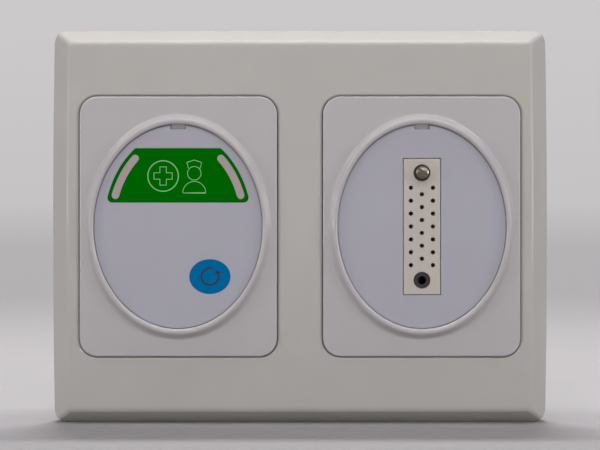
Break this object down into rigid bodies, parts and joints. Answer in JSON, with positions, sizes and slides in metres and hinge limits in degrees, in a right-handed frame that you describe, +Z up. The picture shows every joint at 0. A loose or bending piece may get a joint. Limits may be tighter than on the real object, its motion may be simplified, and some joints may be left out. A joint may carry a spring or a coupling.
{
  "type": "nurse call station",
  "caption": "Double wall plate with two oval-faced modules: a call point with call and reset keys, and a screw-locked handset socket.",
  "frame": {"origin": "centre of the wall screw pattern, in the plane of the wall", "axes": "+X along the plate's width, to the right seen from the front; +Z up; the front faces -Y and +Y goes into the wall"},
  "size_m": [0.148, 0.0343, 0.117],
  "materials": {
    "cover_gloss": "glossy off-white moulded plastic",
    "grid_plastic": "plain white moulded plastic",
    "bezel_plastic": "satin white moulded plastic",
    "face_plastic": "pale grey moulded plastic",
    "film_white": "fine matt printed film",
    "film_green": "fine matt printed film",
    "film_blue": "fine matt printed film",
    "window_clear": "translucent diffusing film",
    "switch_black": "black moulded plastic",
    "switch_stem": "plain moulded plastic",
    "guide_clear": "clear moulded plastic",
    "lamp_yellow": "lamp resin",
    "board_green": "coated circuit board",
    "terminal_green": "moulded terminal plastic",
    "screw_steel": "zinc-plated steel",
    "housing_plastic": "plain white moulded plastic",
    "socket_cream": "cream moulded insulator",
    "contact_gold": "gold-plated contacts",
    "jack_steel": "turned steel",
    "jack_dark": "black oxide"
  },
  "bodies": {
    "station": {"mounting_grid": "grid_plastic", "call_bezel": "bezel_plastic", "call_face": "face_plastic", "call_film": "film_white", "call_switch_body": "switch_black", "reset_switch_body": "switch_black", "lamp_guides": "guide_clear", "call_lamps": "lamp_yellow", "call_board": "board_green", "call_controller": "switch_black", "call_terminals": "terminal_green", "call_terminal_screws": "screw_steel", "call_back_cover": "housing_plastic", "call_back_screws": "screw_steel", "socket_bezel": "bezel_plastic", "socket_face": "face_plastic", "socket_film": "film_white", "socket_body": "socket_cream", "socket_contacts": "contact_gold", "jackscrew_post": "jack_steel", "jackscrew_collar": "jack_dark", "jackscrew_bush": "jack_dark", "jackscrew_nuts": "screw_steel", "socket_fixing_screws": "screw_steel", "socket_board": "board_green", "socket_terminals": "terminal_green", "socket_terminal_screws": "screw_steel", "socket_back_cover": "housing_plastic", "socket_back_screws": "screw_steel"},
    "cover": {"cover_plate": "cover_gloss"},
    "call_button": {"call_key": "face_plastic", "call_key_film": "film_green", "lamp_windows": "window_clear", "call_switch_stem": "switch_stem"},
    "reset_button": {"reset_key": "face_plastic", "reset_key_film": "film_blue", "reset_switch_stem": "switch_stem"}
  },
  "joints": [
    {"name": "cover_pull", "type": "slide", "parent": "station", "child": "cover", "axis": [0, -1, 0], "range_m": [0, 0.02]},
    {"name": "call_press", "type": "slide", "parent": "station", "child": "call_button", "axis": [0, 1, 0], "range_m": [0, 0.0005], "stiffness_N_per_m": 5000},
    {"name": "reset_press", "type": "slide", "parent": "station", "child": "reset_button", "axis": [0, 1, 0], "range_m": [0, 0.0004], "stiffness_N_per_m": 5000}
  ]
}
